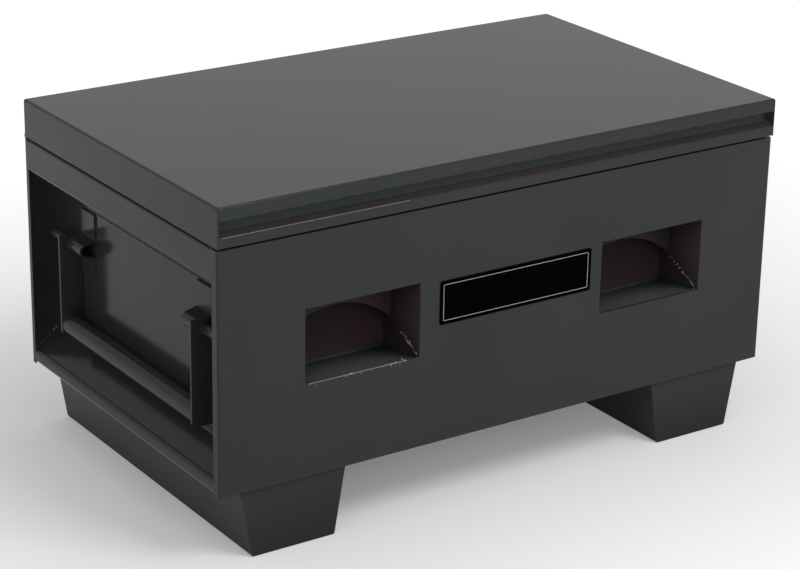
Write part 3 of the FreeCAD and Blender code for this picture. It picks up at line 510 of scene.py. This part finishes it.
def powder_coat(name, roughness, colour=COAT_COLOUR, tint=COAT_SPECULAR_TINT, reach=COAT_SHADE_REACH,
                painted_hollow_tone=COAT_HOLLOW_SHADE, levels=None):
    """Semi-gloss powder coat: faint blotches, fine grain, orange peel, edges lightened as by rubbing and as
    painted highlights, and painted shade in hollows, in colour and in gloss, where a colour tone above 1
    paints fill light instead of shade.
    """
    paint = Shader(name)
    paint.set(Specular_Tint=tint, IOR=COAT_IOR)
    blotches = paint.remap(paint.noise(BLOTCH_SCALE, detail=3.0), BLOTCH_RANGE)
    tone = paint.mix(blotches, *(scaled(colour, factor) for factor in BLOTCH_TONES))
    # Painted shade: the colour is scaled by the hollows' tone where ambient occlusion finds hollows and
    # corners.
    unshaded_share = paint.remap(paint.openness(reach), SHADE_OCCLUSION_RANGE)
    tone = paint.mix(unshaded_share, scaled(colour, painted_hollow_tone), tone)
    # Painted shade that rises up the lock box's walls.
    if levels:
        tone = shaded_upwards(paint, tone, levels)
    grain = paint.noise(GRAIN_SCALE, detail=1.0)
    tone = paint.mix(paint.remap(grain, GRAIN_RANGE, GRAIN_SHARE), tone, scaled(colour, GRAIN_TONE))
    # Edges lightened as by rubbing and as painted edge highlights.
    wear_highlight_patches = paint.remap(paint.noise(WEAR_HIGHLIGHT_SCALE), WEAR_HIGHLIGHT_RANGE, WEAR_HIGHLIGHT_SHARE)
    wear_highlight_edges = paint.product(paint.edges(WEAR_HIGHLIGHT_RADIUS), wear_highlight_patches)
    paint.colour(paint.mix(wear_highlight_edges, tone, scaled(colour, WEAR_HIGHLIGHT_TONE)))
    sheen = (roughness - ROUGHNESS_SPREAD, roughness + ROUGHNESS_SPREAD)
    paint.roughness(paint.remap(paint.noise(SHEEN_SCALE, detail=1.0), (0.0, 1.0), sheen))
    # Painted shade on the gloss: reflections are dimmed in hollows and corners.
    paint.gloss(paint.remap(unshaded_share, (0.0, 1.0), HOLLOW_SHADED_GLOSS))
    orange_peel = paint.noise(ORANGE_PEEL_SCALE, detail=1.5)
    paint.bump((orange_peel, ORANGE_PEEL_DEPTH), (grain, GRAIN_DEPTH))
    return paint.material


def zinc_steel():
    """Zinc-plated steel with a faint spangle and brushed streaks."""
    zinc = Shader("zinc_steel")
    zinc.set(Metallic=1.0)
    cloud = zinc.noise(60.0, detail=3.0)
    zinc.colour(zinc.mix(zinc.remap(cloud, (0.3, 0.7)), (0.36, 0.37, 0.38), (0.56, 0.57, 0.58)))
    streaks = zinc.noise(400.0, stretch=(0.05, 1.0, 1.0))
    zinc.roughness(zinc.remap(streaks, (0.3, 0.7), (0.32, 0.5)))
    zinc.bump((streaks, 0.01 * MM))
    return zinc.material


def label_black():
    """The label's satin black face."""
    label = Shader("label_black")
    label.set(IOR=1.1, Specular_IOR_Level=0.1)
    haze = label.noise(30.0, detail=3.0)
    label.colour(label.mix(haze, (0.0005, 0.0005, 0.0006), (0.0014, 0.0014, 0.0015)))
    label.roughness(label.remap(haze, (0.3, 0.7), (0.42, 0.5)))
    label.bump((label.noise(PRINT_SCALE), PRINT_DEPTH))
    return label.material


def rubber():
    """Matt black rubber."""
    pad = Shader("rubber")
    cloud = pad.noise(200.0, detail=3.0)
    pad.colour(pad.mix(cloud, (0.012, 0.012, 0.012), (0.03, 0.029, 0.028)))
    pad.roughness(pad.remap(cloud, (0.3, 0.7), (0.75, 0.9)))
    pad.bump((cloud, 0.05 * MM))
    return pad.material


def chipped_steel(name, bare_from, bare_colour):
    """Coated steel with bare patches, as on a torch-cut or rubbed edge."""
    edge = Shader(name)
    edge.set(IOR=1.45)
    patches = edge.noise(230.0, detail=4.0, roughness=0.65)
    bare = edge.remap(patches, (bare_from, bare_from + CHIP_SOFTNESS))
    edge.colour(edge.mix(bare, scaled(COAT_COLOUR, 0.8), bare_colour))
    edge.roughness(edge.remap(bare, (0.0, 1.0), (0.55, 0.38)))
    edge.bump((patches, 0.3 * MM))
    return edge.material


def dark_seam_and_shadow_line():
    """The dark, rough line of an unpainted gap, also laid as a painted shadow line under the header and along
    the right pocket's lower edge.
    """
    seam = Shader("dark_seam_and_shadow_line")
    seam.set(IOR=1.2)
    cloud = seam.noise(300.0, detail=3.0)
    seam.colour(seam.mix(cloud, scaled(DARK_COLOUR, 0.5), scaled(DARK_COLOUR, 1.8)))
    seam.roughness(seam.remap(cloud, (0.2, 0.8), (0.7, 0.9)))
    seam.bump((cloud, 0.2 * MM))
    return seam.material


def pale_line():
    """The label's printed pale line."""
    ink = Shader("pale_line")
    haze = ink.noise(160.0, detail=2.0)
    ink.colour(ink.mix(haze, (0.55, 0.55, 0.54), (0.7, 0.7, 0.69)))
    ink.roughness(ink.remap(haze, (0.2, 0.8), (0.42, 0.52)))
    ink.bump((ink.noise(PRINT_SCALE), PRINT_DEPTH))
    return ink.material


def lock_box_shade_levels():
    """The levels above a lock box's sloping floor between which its paint turns from the painted light grey
    of its floor to the maroon painted shade of its walls.
    """
    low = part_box("lock_hood_left")[0]
    return [low.z + LOCK_FLOOR_FALL * low.y + rise for rise in LOCK_BOX_SHADE_RISES]


def make_looks():
    """Every finish, by its material slot or its own name."""
    return {
        "powder_coat": powder_coat("powder_coat", SHELL_ROUGHNESS, painted_hollow_tone=SHELL_HOLLOW_FILL_LIGHT),
        "handle_coat": powder_coat("handle_coat", HANDLE_ROUGHNESS),
        "channel_coat": powder_coat("channel_coat", SHELL_ROUGHNESS),
        "skid_coat": powder_coat("skid_coat", SKID_ROUGHNESS, reach=SKID_SHADE_REACH, painted_hollow_tone=SKID_HOLLOW_SHADE),
        # The pockets' hoods and lock boxes: copies of the coat with painted fill light and painted shade.
        "hood_painted_light_coat": powder_coat("hood_painted_light_coat", INNER_ROUGHNESS, INNER_FILL_AND_SHADE_COLOUR, INNER_SHADED_SPECULAR_TINT, INNER_SHADE_REACH,
                                 HOOD_HOLLOW_SHADE),
        "lock_box_painted_light_coat": powder_coat("lock_box_painted_light_coat", INNER_ROUGHNESS, LOCK_BOX_PAINTED_LIGHT_COLOUR, INNER_SHADED_SPECULAR_TINT,
                                     INNER_SHADE_REACH, LOCK_BOX_HOLLOW_SHADE, lock_box_shade_levels()),
        "zinc_steel": zinc_steel(),
        "label": label_black(),
        "rubber": rubber(),
        "chipped": chipped_steel("chipped_steel", 0.5, BARE_COLOUR),
        "bright": chipped_steel("bare_steel", 0.3, scaled(BARE_COLOUR, BRIGHT_TONE)),
        "worn_and_highlight": chipped_steel("worn_and_highlight_edge", 0.3, scaled(BARE_COLOUR, WORN_AND_HIGHLIGHT_TONE)),
        "dark": dark_seam_and_shadow_line(),
        "pale_line": pale_line(),
    }


def dress(looks):
    """Give every CAD node the finish of its family, or else of the record's material slot."""
    for row in frame["record"]["subparts"]:
        node = frame["nodes"][row["node"]]
        family = row["node"].rsplit("_", 1)[0]
        node.data.materials.clear()
        node.data.materials.append(looks[FAMILY_LOOKS.get(family, row["material_slot"])])


# ---- pieces ----
def add_piece(name, bm, material, body):
    """A finished mesh that rides on a body."""
    bmesh.ops.recalc_face_normals(bm, faces=bm.faces)
    mesh = bpy.data.meshes.new(name)
    bm.to_mesh(mesh)
    bm.free()
    mesh.materials.append(material)
    piece = bpy.data.objects.new(name, mesh)
    bpy.context.scene.collection.objects.link(piece)
    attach(piece, body)


def bridged(bm, first, second):
    """Quads between two closed loops of vertices."""
    for index in range(len(first)):
        bm.faces.new((first[index - 1], first[index], second[index], second[index - 1]))


def spaced(path, step):
    """Points at an even spacing along a polyline."""
    points = [path[0]]
    for start, end in zip(path, path[1:]):
        count = max(1, round((end - start).length / step))
        points += [start.lerp(end, (index + 1) / count) for index in range(count)]
    return points


def plane_normal(path):
    """A direction square to a straight or a flat curved path."""
    middle = path[len(path) // 3]
    normal = (middle - path[0]).cross(path[2 * len(path) // 3] - middle)
    if normal.length < MM * MM:
        normal = (path[-1] - path[0]).orthogonal()
    return normal.normalized()


def bead_rings(bm, points, radius, ripple, chance, closed):
    """The lumpy rings of a bead, one around each point."""
    across = plane_normal(points)
    last = len(points) - 1
    rings = []
    for index, point in enumerate(points):
        before = points[index - 1] if closed else points[max(index - 1, 0)]
        after = points[(index + 1) % len(points)] if closed else points[min(index + 1, last)]
        out = (after - before).cross(across).normalized()
        lump = ripple * (index * BEAD_STEP / BEAD_PITCH % 1)
        swell = 1 - lump + BEAD_JITTER * ripple * chance.uniform(-1, 1)
        if not closed and index in (0, last):
            swell *= BEAD_END
        middle = point + across * radius * BEAD_WANDER * ripple * chance.uniform(-1, 1)
        turns = [2 * math.pi * side / BEAD_SIDES for side in range(BEAD_SIDES)]
        spokes = [(across * math.cos(turn) + out * math.sin(turn)) * radius * swell for turn in turns]
        rings.append([bm.verts.new(middle + spoke) for spoke in spokes])
    return rings


def bead(name, path, radius, material, body="box", ripple=WELDED, closed=False):
    """A weld bead or a rough cut edge along a path."""
    points = spaced(path, BEAD_STEP)
    if closed:
        points.pop()
    bm = bmesh.new()
    rings = bead_rings(bm, points, radius, ripple, random.Random(name), closed)
    for first, second in zip(rings, rings[1:]):
        bridged(bm, first, second)
    if closed:
        bridged(bm, rings[-1], rings[0])
    else:
        bm.faces.new(rings[0])
        bm.faces.new(rings[-1])
    for face in bm.faces:
        face.smooth = True
    add_piece(name, bm, material, body)


def spatter(name, path, spread, count, material):
    """Metal droplets stuck to the sheet beside a cut or a weld."""
    chance = random.Random(name)
    bm = bmesh.new()
    for _ in range(count):
        place = path[0].lerp(path[-1], chance.random())
        place += Vector([chance.gauss(0, size) for size in spread])
        size = chance.uniform(*SPATTER_SIZES)
        for axis in range(3):
            place[axis] = min(max(place[axis], CAD_BOX[0][axis] + size), CAD_BOX[1][axis] - size)
        bmesh.ops.create_icosphere(bm, subdivisions=1, radius=size, matrix=Matrix.Translation(place))
    add_piece(name, bm, material, "box")


# ---- label ----
def rounded_outline(low, high, radius, y):
    """A rectangle with round corners in the plane of the front."""
    middles = [(high.x - radius, high.z - radius), (low.x + radius, high.z - radius),
               (low.x + radius, low.z + radius), (high.x - radius, low.z + radius)]
    points = []
    for corner, (x, z) in enumerate(middles):
        for step in range(CORNER_STEPS + 1):
            turn = math.pi / 2 * (corner + step / CORNER_STEPS)
            points.append((x + radius * math.cos(turn), y, z + radius * math.sin(turn)))
    return points


def make_label_border(material):
    """The thin pale line round the blank label."""
    low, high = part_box("label_plate")
    front, back = low.y - BORDER_RISE, low.y + BORDER_RISE
    outer = (Vector((BORDER_INSET, 0, BORDER_INSET)), BORDER_CORNER)
    inner = (outer[0] + Vector((BORDER_WIDTH, 0, BORDER_WIDTH)), BORDER_CORNER - BORDER_WIDTH)
    bm = bmesh.new()
    loops = []
    for (inset, radius), y in ((outer, front), (inner, front), (inner, back), (outer, back)):
        outline = rounded_outline(low + inset, high - inset, radius, y)
        loops.append([bm.verts.new(point) for point in outline])
    for index in range(len(loops)):
        bridged(bm, loops[index - 1], loops[index])
    add_piece("label_border", bm, material, "box")


# ---- welds and seams of the ends ----
def nearest_x(node):
    """How far a node's inner side lies from the middle of the box."""
    return min(abs(corner.x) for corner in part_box(node))


def farthest_x(node):
    """How far a node's outer side lies from the middle of the box."""
    return max(abs(corner.x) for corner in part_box(node))


def circle(middle, radius):
    """A closed ring of points about a point, square to Y."""
    turns = [2 * math.pi * step / CURVE_STEPS for step in range(CURVE_STEPS + 1)]
    return [middle + Vector((math.cos(turn), 0, math.sin(turn))) * radius for turn in turns]


def ring_weld(name, round_node, y, radius, material, body):
    """A weld round a rod or a tube that lies along Y."""
    low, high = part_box(round_node)
    middle = (low + high) / 2
    middle.y = y
    bead(name, circle(middle, (high.z - low.z) / 2), radius, material, body, closed=True)


def make_handle_welds(side, looks):
    """Rings where the pins and the grip are welded to the arms."""
    coat = looks["handle_coat"]
    body = "handle_" + side
    for end, outer in (("front", 0), ("rear", 1)):
        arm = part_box("handle_arm_" + end + "_" + side)
        name = "_weld_" + end + "_" + side
        ring_weld("pin" + name, "handle_pins_" + side, arm[outer].y, PIN_WELD, coat, body)
        ring_weld("grip" + name, "handle_grip_" + side, arm[1 - outer].y, GRIP_WELD, coat, body)


def make_saddle_welds(side, sign, looks):
    """Short beads along the top and the bottom edges of the saddles' feet."""
    low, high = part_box("saddles_" + side)
    x = sign * (nearest_x("saddles_" + side) + SADDLE_SHEET / 2)
    for end, y in (("front", low.y), ("rear", high.y - SADDLE_WIDTH)):
        for edge, z in (("top", high.z), ("bottom", low.z)):
            path = [Vector((x, y, z)), Vector((x, y + SADDLE_WIDTH, z))]
            bead("saddle_weld_" + end + "_" + edge + "_" + side, path, SADDLE_WELD, looks["powder_coat"])


def make_foot_weld(end, side, sign, y, looks):
    """A bead and its spatter along one end of the end panel's sloping foot."""
    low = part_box("end_sill_" + side)[0].z + FOOT_START
    inner_x = nearest_x("saddles_" + side)
    outer_x = farthest_x("end_sill_" + side) - SILL_LIP
    path = [Vector((sign * inner_x, y, low + FOOT_RISE)), Vector((sign * outer_x, y, low))]
    bead("foot_weld_" + end + "_" + side, path, FOOT_WELD, looks["powder_coat"])
    spatter("foot_spatter_" + end + "_" + side, path, FOOT_SPREAD, FOOT_SPATTER, looks["bright"])


def make_header_weld(end, side, sign, y, looks):
    """A bead down one of the header's upright edges."""
    low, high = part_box("end_header_" + side)
    x = sign * (farthest_x("end_sill_" + side) - HEADER_WELD_SINK)
    path = [Vector((x, y, z)) for z in (high.z - HEADER_WELD_DROP, low.z + HEADER_BEND)]
    bead("header_weld_" + end + "_" + side, path, HEADER_WELD, looks["powder_coat"], ripple=EVEN)


def make_end_welds(side, sign, looks):
    """The welds at the front and at the rear of an end's recess."""
    for end, corner in zip(("front", "rear"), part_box("end_panel_" + side)):
        make_foot_weld(end, side, sign, corner.y, looks)
        make_header_weld(end, side, sign, corner.y, looks)


def make_end_seams(side, sign, looks):
    """The dark gap behind the sill's lip, and a dark line under the header that is partly its gap and partly
    painted shadow.
    """
    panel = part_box("end_panel_" + side)
    sill_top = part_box("end_sill_" + side)[1].z
    header_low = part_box("end_header_" + side)[0]
    outer_x = farthest_x("end_sill_" + side)
    lip_x = sign * (outer_x - SILL_LIP - LIP_SEAM_SINK)
    ends = (panel[0].y + LIP_SEAM_INSET, panel[1].y - LIP_SEAM_INSET)
    lip = [Vector((lip_x, y, sill_top - LIP_SEAM_DROP)) for y in ends]
    bead("lip_seam_" + side, lip, LIP_SEAM, looks["dark"], ripple=ROUGH)
    joint_x = sign * (outer_x - HEADER_SEAM_SINK)
    ends = (header_low.y + HEADER_SEAM_START, header_low.y + HEADER_SEAM_END)
    gap_shadow = [Vector((joint_x, y, header_low.z + HEADER_SEAM_RISE)) for y in ends]
    bead("header_seam_" + side, gap_shadow, HEADER_GAP_SHADOW, looks["dark"], ripple=ROUGH)


# ---- cut and worn edges of the front ----
class Pocket:
    """One lock pocket's measures, taken from its hood."""

    def __init__(self, side):
        low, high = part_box("lock_hood_" + side)
        self.side = side
        self.centre = (low.x + high.x) / 2
        self.half = (high.x - low.x) / 2 - HOOD_SHEET
        self.front = low.y
        self.back = high.y - HOOD_SHEET
        self.floor = low.z
        self.back_low = self.floor + POCKET_DROP + HOOD_RISE

    def cheek_line(self):
        """The cut edge of the right cheek, bowed up between the front and the back."""
        points = []
        for step in range(CURVE_STEPS + 1):
            share = step / CURVE_STEPS
            y = self.front + (self.back - self.front) * share
            z = self.floor + (self.back_low - self.floor) * share + 4 * HOOD_SAG * share * (1 - share)
            points.append(Vector((self.centre + self.half + CUT_SINK, y, z)))
        return points

    def arch_line(self):
        """The cut edge of the arch in the back, from right to left."""
        radius = (self.half ** 2 + ARCH_RISE ** 2) / (2 * ARCH_RISE)
        reach = math.asin(self.half / radius)
        middle = Vector((self.centre, self.back + CUT_SINK, self.back_low + ARCH_RISE - radius))
        turns = [reach - 2 * reach * step / CURVE_STEPS for step in range(CURVE_STEPS + 1)]
        return [middle + Vector((math.sin(turn), 0, math.cos(turn))) * radius for turn in turns]

    def sill_line(self):
        """The lower edge of the opening in the front panel."""
        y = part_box("front_panel")[0].y + CUT_SINK
        z = self.floor + POCKET_DROP
        return [Vector((self.centre + share * self.half, y, z)) for share in SILL_EDGE_REACH]


def make_pocket_edges(side, looks):
    """The torch-cut edges inside a pocket and the lower edge of its opening: a light chipped line at the
    left, a dark painted shadow line at the right.
    """
    pocket = Pocket(side)
    cheek = pocket.cheek_line()
    bright_end = cheek[:round(CUT_BRIGHT_SHARE[side] * CURVE_STEPS)]
    bead("cheek_cut_" + side, bright_end, CHEEK_CUT, looks["chipped"], ripple=TORN)
    bead("cheek_edge_" + side, cheek[len(bright_end) - 1:], CHEEK_EDGE, looks["powder_coat"], ripple=TORN)
    spatter("cheek_spatter_" + side, bright_end, CHEEK_SPREAD, CHEEK_SPATTER, looks["bright"])
    bead("arch_cut_" + side, pocket.arch_line(), ARCH_CUT, looks["dark"], ripple=RAGGED)
    # At the right the opening's lower edge is a dark painted shadow line.
    finish = looks["worn_and_highlight"] if side == "left" else looks["dark"]
    bead("sill_edge_" + side, pocket.sill_line(), SILL_EDGE, finish, ripple=EVEN)
    if side == "left":
        spatter("sill_spatter", pocket.sill_line(), SILL_SPREAD, SILL_SPATTER, looks["bright"])


def make_shelf_highlight(material):
    """A painted highlight: the bright line along the edge between the lid's shelf and its lip, at the left.
    """
    low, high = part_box("lid_shell")
    ends = (low.x + SHELF_EDGE_INSET, SHELF_EDGE_END)
    edge = [Vector((x, low.y + SHELF_EDGE_SINK, high.z - SHELF_EDGE_DROP)) for x in ends]
    bead("shelf_edge", edge, SHELF_HIGHLIGHT, material, "lid", ripple=SLIGHT)


def make_pieces(looks):
    """Every small form that the CAD nodes leave out."""
    make_label_border(looks["pale_line"])
    make_shelf_highlight(looks["worn_and_highlight"])
    for side, sign in (("left", -1), ("right", 1)):
        make_handle_welds(side, looks)
        make_saddle_welds(side, sign, looks)
        make_end_welds(side, sign, looks)
        make_end_seams(side, sign, looks)
        make_pocket_edges(side, looks)


make_stage()
finishes = make_looks()
dress(finishes)
make_pieces(finishes)
